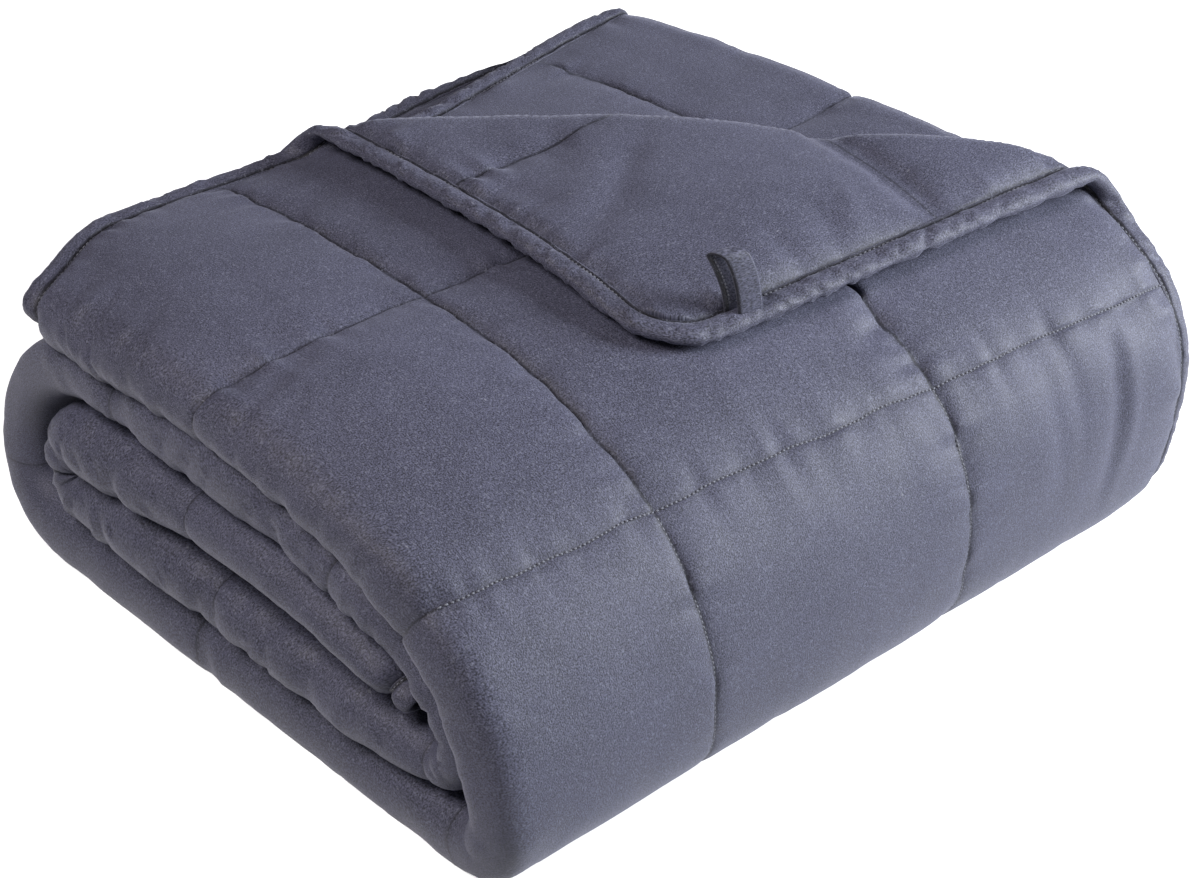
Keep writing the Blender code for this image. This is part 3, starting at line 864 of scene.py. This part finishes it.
def stations(length, cells, spans):
    """Stations along one side, with closer ones beside each seam."""
    at = [0.0]
    for end, step in spans:
        count = max(1, round((end - at[-1]) / step))
        at.extend(np.linspace(at[-1], end, count + 1)[1:])
    at = np.array(at)
    seams = np.arange(cells + 1) * CELL
    clear = np.min(np.abs(at[:, None] - seams[None]), axis=1) > CLEAR_OF_SEAM
    close = [seam + side * gap for seam in seams for gap in (0.0, *BESIDE_SEAM) for side in (-1, 1)]
    every = np.concatenate([at[clear], close, [0.0, length]])
    every = np.unique(np.round(every, 6))
    return every[(every >= 0) & (every <= length + 1e-9)]


def quilted_cloth(sizes, colours):
    """Both faces of the quilt as one closed slab over the folds."""
    long = stations(LENGTH, CELLS_LONG, LONG_SPANS)
    wide = stations(WIDTH, CELLS_WIDE, WIDE_SPANS)
    bm = grid_mesh(len(long), len(wide))
    upper = bmesh.ops.extrude_face_region(bm, geom=bm.faces[:])["geom"]
    bmesh.ops.translate(bm, vec=(0, 0, 1), verts=[v for v in upper if isinstance(v, bmesh.types.BMVert)])
    in_grid_order(bm, len(wide))
    mesh = to_mesh("quilted_cloth", bm)
    row, column, side = np.round(points_of(mesh)).astype(int).T
    s, t = round_corners(long[row], wide[column])
    outside = side > 0
    lift = np.where(outside, cloth_height(s, t, 1, sizes), cloth_height(s, t, -1, sizes))
    set_uv(mesh, s, t)
    s, t = wandering(s, t)
    cloth = brushed_cloth("brushed_cloth", colours.cloth, True)
    piece = finished("quilted_cloth", mesh, laid(s, t, lift), cloth, "quilted_body")
    return piece


# The binding's cross section on its upper face: how far out of the cloth's edge each rib lies, and its
# height. The third rib is the stitched groove, and the plump part starts beyond it
Rib = namedtuple("Rib", "out lift")
BINDING = (
    Rib(-0.0007, 0.0012),
    Rib(0.0001, 0.0014),
    Rib(0.0009, 0.0002),
    Rib(0.0020, 0.0018),
    Rib(0.0030, 0.0026),
    Rib(0.0050, 0.0032),
    Rib(0.0070, 0.0033),
    Rib(0.0090, 0.0029),
    Rib(0.0107, 0.0020),
    Rib(0.0115, 0.0007),
)
GROOVE_OUT = 0.0009
PLUMP_FROM = 0.0012
# The binding's UV goes up by this much from rib to rib
RIB_UV = 0.0016
GROOVE_UV = 2 * RIB_UV
UNDER_GROOVE_UV = (2 * len(BINDING) - 1) * RIB_UV - GROOVE_UV
# The binding's dents, crinkles and swells: the distance between them, and how far the noise runs
DENT_WAVE = 0.013
CRINKLE_WAVE = 0.0075
SWELL_WAVE = 0.05
RIM_RUN = 8
# From here along s the binding is smoother, and at the right edge it turns under
TURN_FROM = 0.24
TURN_EASE = 0.10


def rim(step):
    """Stations round the rounded edge of the blanket: s, t, the outward direction, and the distance run."""
    straight_s = np.arange(INNER_RADIUS, LENGTH - INNER_RADIUS, step)
    straight_t = np.arange(INNER_RADIUS, WIDTH - INNER_RADIUS, step)
    quarter = np.linspace(0, np.pi / 2, max(4, int(INNER_RADIUS * np.pi / 2 / step)) + 1)[1:-1]
    rows = []
    corners = (
        (LENGTH - INNER_RADIUS, INNER_RADIUS, -np.pi / 2),
        (LENGTH - INNER_RADIUS, WIDTH - INNER_RADIUS, 0.0),
        (INNER_RADIUS, WIDTH - INNER_RADIUS, np.pi / 2),
        (INNER_RADIUS, INNER_RADIUS, np.pi),
    )
    sides = (
        [(s, 0.0, 0.0, -1.0) for s in straight_s],
        [(LENGTH, t, 1.0, 0.0) for t in straight_t],
        [(s, WIDTH, 0.0, 1.0) for s in straight_s[::-1]],
        [(0.0, t, -1.0, 0.0) for t in straight_t[::-1]],
    )
    for side, (corner_s, corner_t, start) in zip(sides, corners):
        rows.extend(side)
        for turn in quarter + start:
            way = np.array([np.cos(turn), np.sin(turn)])
            place = np.array([corner_s, corner_t]) + INNER_RADIUS * way
            rows.append((*place, *way))
    rows = np.array(rows)
    run = np.concatenate([[0], np.cumsum(np.hypot(*np.diff(rows[:, :2], axis=0).T))])
    return np.column_stack([rows, run])


def edge_binding(sizes, colours):
    """The plump strip folded over the raw edge and stitched down beside it."""
    around = rim(sizes.binding_step)
    upper = [(rib.out, rib.lift) for rib in BINDING]
    lower = [(rib.out, -rib.lift) for rib in BINDING[::-1]]
    section = np.array(upper + lower)
    mesh = to_mesh("bound_edge", grid_mesh(len(around) + 1, len(section) + 1))
    row, column, _ = np.round(points_of(mesh)).astype(int).T
    s, t, way_s, way_t, run = around[row % len(around)].T
    out, lift = section[column % len(section)].T
    rough = Unevenness(41)
    plump = ease((out - PLUMP_FROM) / 0.003)
    turning = ease((s - TURN_FROM) / TURN_EASE)
    dents = notched(rough.along(run + 1.1 * out, DENT_WAVE, RIM_RUN), 0.55)
    dents = dents * np.clip(0.55 + 0.7 * rough.along(run, 0.09, RIM_RUN), 0.1, 1) * (1 - 0.7 * turning)
    fine = rough.along(run - 0.8 * out, CRINKLE_WAVE, RIM_RUN)
    groove = (out < 0.0025) * np.exp(-((out - GROOVE_OUT) / 0.0015) ** 2)
    out = out + 0.0007 * groove * rough.along(run, 0.012, RIM_RUN)
    swell = rough.along(run, SWELL_WAVE, RIM_RUN)
    crinkle = 0.12 + 0.22 * ease((0.34 - np.maximum(s, t)) / 0.05)
    lift = lift * (1 + plump * (0.10 * swell + crinkle * fine - 0.62 * dents))
    out = out + plump * 0.0005 * (0.6 * swell + 2.0 * crinkle * fine - 1.6 * dents)
    turned_under = turning * ease((1.0 - s) / 0.10) * (t < INNER_RADIUS)
    lift = lift - 0.60 * turned_under * np.maximum(out, 0)
    whole_run = around[-1, 4] + sizes.binding_step
    set_uv(mesh, np.where(row == len(around), whole_run, run), column * RIB_UV)
    cloth = brushed_cloth("binding_cloth", colours.binding, False)
    places = laid(s + way_s * out, t + way_t * out, lift)
    return finished("bound_edge", mesh, places, cloth, "edge_binding")


# The tie loop: a tape folded double, standing on the turned corner. Its foot lies at LOOP_S, LOOP_T
# in cloth coordinates, its legs stand apart by their radius at the foot and at the top, and it leans
# more towards its top. Its hem is as wide as HEM, and is stitched there
LOOP_S = 0.0380
LOOP_T = -0.0045
TAPE_WIDTH = 0.0116
LOOP_LENGTH = 0.029
LOOP_TOP_R = 0.0032
LOOP_FOOT_R = 0.0024
LOOP_CLEAR = 0.0026
LOOP_SHEAR = 0.8
LOOP_TURN_DEG = -11
LEAN_TURN_DEG = 140
LEAN_AT_FOOT_DEG = 4
LEAN_AT_TOP_DEG = 29
SEAM_UNDER = 0.0011
LOOP_TUCK = 0.003
HEM = 0.0018
# The tape's cross section from one edge to its middle: the distance in from the edge, and the height
# as a share of half the thickness
TAPE_FACE = ((0.0, 0.0), (0.0003, 0.9), (0.0012, 1.1), (HEM, 0.7), (0.0026, 1.0))
TAPE_BACK = ((0.0003, -0.9), (0.0012, -1.0))


def loop_place(height, offset, side):
    """Places a point of the leaning loop: height up the tape, offset to the back, side across it."""
    foot = laid(LOOP_S, LOOP_T, -SEAM_UNDER)[0] + np.array([0, 0, LOOP_CLEAR])
    side_turn = np.radians(LOOP_TURN_DEG)
    side_way = np.array([np.cos(side_turn), np.sin(side_turn), 0])
    back_way = np.array([-np.sin(side_turn), np.cos(side_turn), 0])
    lean_turn = np.radians(LEAN_TURN_DEG)
    lean_way = np.array([np.cos(lean_turn), np.sin(lean_turn), 0])
    first = np.radians(LEAN_AT_FOOT_DEG)
    bend = np.radians(LEAN_AT_TOP_DEG - LEAN_AT_FOOT_DEG) / LOOP_LENGTH
    slope = first + bend * height
    reach = side - LOOP_SHEAR * offset
    lean = (np.cos(first) - np.cos(slope)) / bend
    rise = (np.sin(slope) - np.sin(first)) / bend
    across = side_way * reach[:, None] + back_way * offset[:, None]
    return foot + across + lean_way * lean[:, None] + np.array([0, 0, 1]) * rise[:, None]


def loop_line(steps):
    """The tape's middle line, up the front leg, over the top and down the back leg."""
    rise = LOOP_LENGTH - LOOP_TOP_R
    up = np.linspace(-LOOP_TUCK, rise, steps)
    turn = np.linspace(0, np.pi, steps)[1:-1]
    legs = LOOP_FOOT_R + (LOOP_TOP_R - LOOP_FOOT_R) * ease(up / rise)
    height = np.concatenate([up, rise + LOOP_TOP_R * np.sin(turn), up[::-1]])
    offset = np.concatenate([-legs, -LOOP_TOP_R * np.cos(turn), legs[::-1]])
    slope = np.gradient(height)
    slide = np.gradient(offset)
    size = np.hypot(slope, slide)
    run = np.concatenate([[0], np.cumsum(np.hypot(np.diff(height), np.diff(offset)))])
    return height, offset, slide / size, -slope / size, run


def tape_section(half):
    """The tape's cross section as (across, out), once round from its left edge."""
    edge = TAPE_WIDTH / 2
    face = [(inset - edge, half * height) for inset, height in TAPE_FACE]
    face = face + [(0.0, half * 1.1)] + [(-across, out) for across, out in face[::-1]]
    back = [(edge - inset, half * height) for inset, height in TAPE_BACK]
    back = back + [(0.0, -half)] + [(-across, out) for across, out in back[::-1]]
    return np.array(face + back)


def tie_loop(sizes, colours):
    """A narrow tape with stitched edges."""
    height, offset, out_height, out_offset, run = loop_line(14)
    section = tape_section(sizes.tape_thickness / 2)
    mesh = to_mesh("loop_tape", grid_mesh(len(height), len(section) + 1))
    row, column, _ = np.round(points_of(mesh)).astype(int).T
    side, out = section[column % len(section)].T
    set_uv(mesh, run[row], (column + 1) * RIB_UV)
    places = loop_place(height[row] - out_height[row] * out, offset[row] - out_offset[row] * out, side)
    tape = brushed_cloth("loop_tape", colours.tape, False)
    move_points(mesh, places)
    bm = bmesh.new()
    bm.from_mesh(mesh)
    bmesh.ops.remove_doubles(bm, verts=bm.verts, dist=SAME_POINT)
    bmesh.ops.holes_fill(bm, edges=bm.edges, sides=0)
    bm.to_mesh(mesh)
    bm.free()
    piece = finished("loop_tape", mesh, points_of(mesh), tape, "tie_loop")
    return piece


# ---- Sewing ----

# How far apart the beads stand before they are laid as stitches
BEAD_GAP = 4.0
# A stitch's half length as a share of its step, and its half width and half height of the thread's
STITCH_SHAPE = (0.36, 0.55, 0.45)


def stitch_row(s, t, lift, sizes, face):
    """Middle, way, up and length of each stitch along a line of sewing."""
    line = laid(s, t, lift)
    start = line[:-1]
    end = line[1:]
    up = laid(s[:-1], t[:-1], lift[:-1] + face * 0.001) - start
    return np.hstack([(start + end) / 2, end - start, up])


def sewn(name, rows, sizes, material):
    """One piece of many stitches: a bead, doubled until there are enough, then each laid in place."""
    count = len(rows)
    bm = bmesh.new()
    bmesh.ops.create_icosphere(bm, subdivisions=1, radius=1.0)
    made = 1
    while made < count:
        copy = bmesh.ops.duplicate(bm, geom=bm.verts[:] + bm.edges[:] + bm.faces[:])["geom"]
        beads = [v for v in copy if isinstance(v, bmesh.types.BMVert)]
        bmesh.ops.translate(bm, vec=(BEAD_GAP * made, 0, 0), verts=beads)
        made *= 2
    spare = [v for v in bm.verts if v.co.x > BEAD_GAP * (count - 0.5)]
    bmesh.ops.delete(bm, geom=spare, context="VERTS")
    mesh = to_mesh(name, bm)
    local = points_of(mesh)
    stitch = np.round(local[:, 0] / BEAD_GAP).astype(int)
    local[:, 0] -= stitch * BEAD_GAP
    middle, way, up = np.split(rows[stitch], 3, axis=1)
    length = np.linalg.norm(way, axis=1, keepdims=True)
    way = way / length
    across = np.cross(up, way)
    across = across / np.linalg.norm(across, axis=1, keepdims=True)
    up = np.cross(way, across)
    half_length, half_width, half_height = STITCH_SHAPE
    places = middle + way * local[:, :1] * length * half_length
    places = places + across * local[:, 1:2] * sizes.thread * half_width
    places = places + up * local[:, 2:] * sizes.thread * half_height
    return finished(name, mesh, places, material)


# Runs of quilting whose thread shows: both ends in cloth coordinates, and how deep the thread is sunk
# into the cloth, as a share of its thickness
Run = namedtuple("Run", "s0 t0 s1 t1 sunk")
RUNS = (
    Run(2 * CELL, 0.0, 2 * CELL, LEFT_FOLD - 0.012, -0.15),
    Run(2 * CELL, CELL, 3.2 * CELL, CELL, 0.10),
    Run(2 * CELL, 2 * CELL, 3.2 * CELL, 2 * CELL, 0.10),
)


def quilting_stitches(sizes, colours):
    """Thread along the front's seams, the lines of quilting whose thread shows."""
    rows = []
    for run in RUNS:
        count = int(np.hypot(run.s1 - run.s0, run.t1 - run.t0) / sizes.stitch)
        s = np.linspace(run.s0, run.s1, count)
        t = np.linspace(run.t0, run.t1, count)
        lift = cloth_height(s, t, 1, sizes) - sizes.thread * run.sunk
        s, t = wandering(s, t)
        rows.append(stitch_row(s, t, lift, sizes, 1))
    finish = thread("thread", colours.thread)
    return sewn("quilting_stitches", np.vstack(rows), sizes, finish)


def binding_stitches(sizes, colours):
    """Thread that holds the bound edge, in the groove along its inner lip."""
    s, t, way_s, way_t, run = rim(sizes.stitch * 1.15).T
    out = 0.0008
    rows = []
    for face in (-1, 1):
        lift = face * (0.0003 + 0.0007 * Unevenness(61).along(run, 0.030, RIM_RUN))
        rows.append(stitch_row(s + way_s * out, t + way_t * out, lift, sizes, face))
    finish = thread("binding_thread", colours.thread)
    return sewn("binding_stitches", np.vstack(rows), sizes, finish)


def loop_stitches(sizes, colours):
    """Thread along the edges of the loop's tape."""
    height, offset, out_height, out_offset, run = loop_line(15)
    at = np.arange(0.004, run[-1] - 0.004, sizes.stitch * 0.8)
    height, offset, out_height, out_offset = (
        np.interp(at, run, values) for values in (height, offset, out_height, out_offset)
    )
    on_face = sizes.tape_thickness * 0.42
    above_face = 0.002
    rows = []
    for side in (HEM - TAPE_WIDTH / 2, TAPE_WIDTH / 2 - HEM):
        line, above = (
            loop_place(height - out_height * out, offset - out_offset * out, np.full_like(at, side))
            for out in (on_face, above_face)
        )
        rows.append(np.hstack([(line[:-1] + line[1:]) / 2, np.diff(line, axis=0), (above - line)[:-1]]))
    finish = thread("loop_thread", colours.thread)
    return sewn("loop_stitches", np.vstack(rows), sizes, finish)


# ---- Settings ----


def length_setting(name, description, default, least=0.0):
    """A length in metres that the panel shows."""
    return FloatProperty(name=name, description=description, default=default, min=least, unit="LENGTH")


def colour_setting(name, description, *default):
    """An opaque colour that the panel shows."""
    return FloatVectorProperty(
        name=name, description=description, default=(*default, 1.0), size=4, min=0.0, max=1.0, subtype="COLOR"
    )


class BlanketSizes(bpy.types.PropertyGroup):
    """Sizes of the cloth and its sewing."""

    crown: length_setting("Crown", "Half the quilt's thickness in the middle of a square", 0.0048, 0.001)
    seam_half: length_setting("Seam", "Half the quilt's thickness along a seam", 0.0008, 0.0002)
    extra_crown: length_setting("Extra crown", "How much plumper the outermost layer stands", 0.0040)
    pucker: length_setting("Pucker", "Height of the gathers beside the seams", 0.0016)
    pucker_reach: length_setting("Pucker reach", "How far the gathers run from a seam", 0.008, 0.001)
    lump: length_setting("Lump", "Height of the filling's soft lumps", 0.0007)
    gather: length_setting("Gather", "Height of the gathers along the folds", 0.0028)
    droop: length_setting("Droop", "How far the left fold bulges towards the layer under it", 0.0090)
    binding_step: length_setting("Binding step", "Mesh step along the binding", 0.0018, 0.001)
    tape_thickness: length_setting("Tape", "Thickness of the loop's tape", 0.0014, 0.0002)
    stitch: length_setting("Stitch", "Length of a stitch", 0.0023, 0.001)
    thread: length_setting("Thread", "Thickness of the thread", 0.0009, 0.0001)
    fill: FloatProperty(name="Fill", description="How full the quilt is", default=0.35, subtype="FACTOR")


class BlanketColours(bpy.types.PropertyGroup):
    """Colours of the cloth, the thread and the floor."""

    cloth: colour_setting("Cloth", "Colour of the brushed cloth", 0.089, 0.0915, 0.138)
    # The binding is the cloth's colour about a tenth darker: painted shade, as the bound edge lies in shade
    binding: colour_setting("Binding", "Colour of the bound edge", 0.080, 0.081, 0.122)
    tape: colour_setting("Tape", "Colour of the loop's tape", 0.086, 0.088, 0.131)
    thread: colour_setting("Thread", "Colour of the sewing thread", 0.300, 0.310, 0.370)
    floor: colour_setting("Floor", "Colour of the paper floor", 0.92, 0.92, 0.92)


class BlanketStudio(bpy.types.PropertyGroup):
    """Camera and lights."""

    camera_place: FloatVectorProperty(
        name="Camera", description="Where the camera stands", subtype="TRANSLATION",
        default=(-0.5906 - CENTRE_X, -0.6836 - CENTRE_Y, 0.8482),
    )
    azimuth: FloatProperty(
        name="Azimuth", description="The camera's turn about the vertical",
        default=np.radians(-42.29), subtype="ANGLE",
    )
    elevation: FloatProperty(
        name="Elevation", description="How far the camera looks down",
        default=np.radians(34.15), subtype="ANGLE",
    )
    lens: FloatProperty(name="Lens", description="Focal length on a 36 mm sensor", default=92.25)
    key: FloatProperty(
        name="Right light", description="Power of the light at the front right, in watts", default=41.5
    )
    fill: FloatProperty(
        name="Left light", description="Power of the light at the left, in watts", default=15.0
    )
    room: FloatProperty(name="Room light", description="Brightness of the white room", default=0.05)


# ---- Studio ----

FLOOR_HALF = 4.0
LIGHT_WIDTH = 0.8
LIGHT_AIM = (0.0, -0.03, 0.08)
RIGHT_PLACE = (1.21, -1.01, 0.69)
RIGHT_COLOUR = (0.90, 0.94, 1.0)
LEFT_PLACE = (-0.97, 0.08, 1.44)
LEFT_COLOUR = (1.0, 0.94, 0.95)
ROOM_COLOUR = (1.0, 0.975, 0.99, 1.0)


def soft_light(name, place, colour, power):
    light = bpy.data.lights.new(name, "AREA")
    light.shape = "DISK"
    light.size = LIGHT_WIDTH
    light.energy = power
    light.color = colour
    lamp = bpy.data.objects.new(name, light)
    lamp.location = place
    lamp.rotation_euler = (Vector(LIGHT_AIM) - Vector(place)).to_track_quat("-Z", "Y").to_euler()
    bpy.context.scene.collection.objects.link(lamp)


def studio(settings, colours):
    """The paper floor, the soft lights and the camera."""
    scene = bpy.context.scene
    bm = bmesh.new()
    bmesh.ops.create_grid(bm, x_segments=2, y_segments=2, size=FLOOR_HALF)
    floor = bpy.data.objects.new("floor", to_mesh("floor", bm))
    floor.data.materials.append(floor_finish("floor_paper", colours.floor))
    scene.collection.objects.link(floor)
    floor.visible_diffuse = False
    soft_light("right_light", RIGHT_PLACE, RIGHT_COLOUR, settings.key)
    soft_light("left_light", LEFT_PLACE, LEFT_COLOUR, settings.fill)
    world = bpy.data.worlds.new("white_room")
    world.use_nodes = True
    background = world.node_tree.nodes["Background"]
    background.inputs["Color"].default_value = ROOM_COLOUR
    background.inputs["Strength"].default_value = settings.room
    scene.world = world
    camera = bpy.data.cameras.new("camera")
    camera.sensor_width = 36
    camera.lens = settings.lens
    camera.clip_start = 0.01
    holder = bpy.data.objects.new("camera", camera)
    holder.location = settings.camera_place
    holder.rotation_euler = (np.pi / 2 - settings.elevation, 0, settings.azimuth)
    scene.collection.objects.link(holder)
    scene.camera = holder
    scene.view_settings.view_transform = "Standard"


# ---- Operators and panel ----


class BLANKET_OT_quilted_cloth(bpy.types.Operator):
    """Makes the quilted cloth over the folds"""

    bl_idname = "blanket.quilted_cloth"
    bl_label = "Quilted cloth"
    bl_options = {"REGISTER", "UNDO"}

    def execute(self, context):
        quilted_cloth(context.scene.blanket_sizes, context.scene.blanket_colours)
        return {"FINISHED"}


class BLANKET_OT_bound_edge(bpy.types.Operator):
    """Makes the strip bound round the edge"""

    bl_idname = "blanket.bound_edge"
    bl_label = "Bound edge"
    bl_options = {"REGISTER", "UNDO"}

    def execute(self, context):
        edge_binding(context.scene.blanket_sizes, context.scene.blanket_colours)
        return {"FINISHED"}


class BLANKET_OT_tie_loop(bpy.types.Operator):
    """Makes the tie loop on the turned corner"""

    bl_idname = "blanket.tie_loop"
    bl_label = "Tie loop"
    bl_options = {"REGISTER", "UNDO"}

    def execute(self, context):
        tie_loop(context.scene.blanket_sizes, context.scene.blanket_colours)
        return {"FINISHED"}


class BLANKET_OT_sewing(bpy.types.Operator):
    """Makes the stitches along the seams that show"""

    bl_idname = "blanket.sewing"
    bl_label = "Sewing"
    bl_options = {"REGISTER", "UNDO"}

    def execute(self, context):
        quilting_stitches(context.scene.blanket_sizes, context.scene.blanket_colours)
        binding_stitches(context.scene.blanket_sizes, context.scene.blanket_colours)
        loop_stitches(context.scene.blanket_sizes, context.scene.blanket_colours)
        return {"FINISHED"}


class BLANKET_OT_studio(bpy.types.Operator):
    """Sets up the floor, lights and camera"""

    bl_idname = "blanket.studio"
    bl_label = "Studio"
    bl_options = {"REGISTER", "UNDO"}

    def execute(self, context):
        studio(context.scene.blanket_studio, context.scene.blanket_colours)
        return {"FINISHED"}


class BLANKET_PT_panel(bpy.types.Panel):
    """Lists the blanket's settings and pieces"""

    bl_label = "Blanket"
    bl_idname = "BLANKET_PT_panel"
    bl_space_type = "VIEW_3D"
    bl_region_type = "UI"
    bl_category = "Blanket"

    def draw(self, context):
        for group in ("blanket_sizes", "blanket_colours", "blanket_studio"):
            settings = getattr(context.scene, group)
            box = self.layout.box()
            for name in settings.__annotations__:
                box.prop(settings, name)
        for piece in PIECES:
            self.layout.operator(piece.bl_idname)


GROUPS = (BlanketSizes, BlanketColours, BlanketStudio)
PIECES = (
    BLANKET_OT_quilted_cloth,
    BLANKET_OT_bound_edge,
    BLANKET_OT_tie_loop,
    BLANKET_OT_sewing,
    BLANKET_OT_studio,
)


def register():
    for item in (*GROUPS, *PIECES, BLANKET_PT_panel):
        bpy.utils.register_class(item)
    bpy.types.Scene.blanket_sizes = PointerProperty(type=BlanketSizes)
    bpy.types.Scene.blanket_colours = PointerProperty(type=BlanketColours)
    bpy.types.Scene.blanket_studio = PointerProperty(type=BlanketStudio)


def unregister():
    del bpy.types.Scene.blanket_studio
    del bpy.types.Scene.blanket_colours
    del bpy.types.Scene.blanket_sizes
    for item in (BLANKET_PT_panel, *PIECES[::-1], *GROUPS[::-1]):
        bpy.utils.unregister_class(item)


def main():
    register()
    bpy.ops.blanket.quilted_cloth()
    bpy.ops.blanket.bound_edge()
    bpy.ops.blanket.tie_loop()
    bpy.ops.blanket.sewing()
    bpy.ops.blanket.studio()


if __name__ == "__main__":
    main()
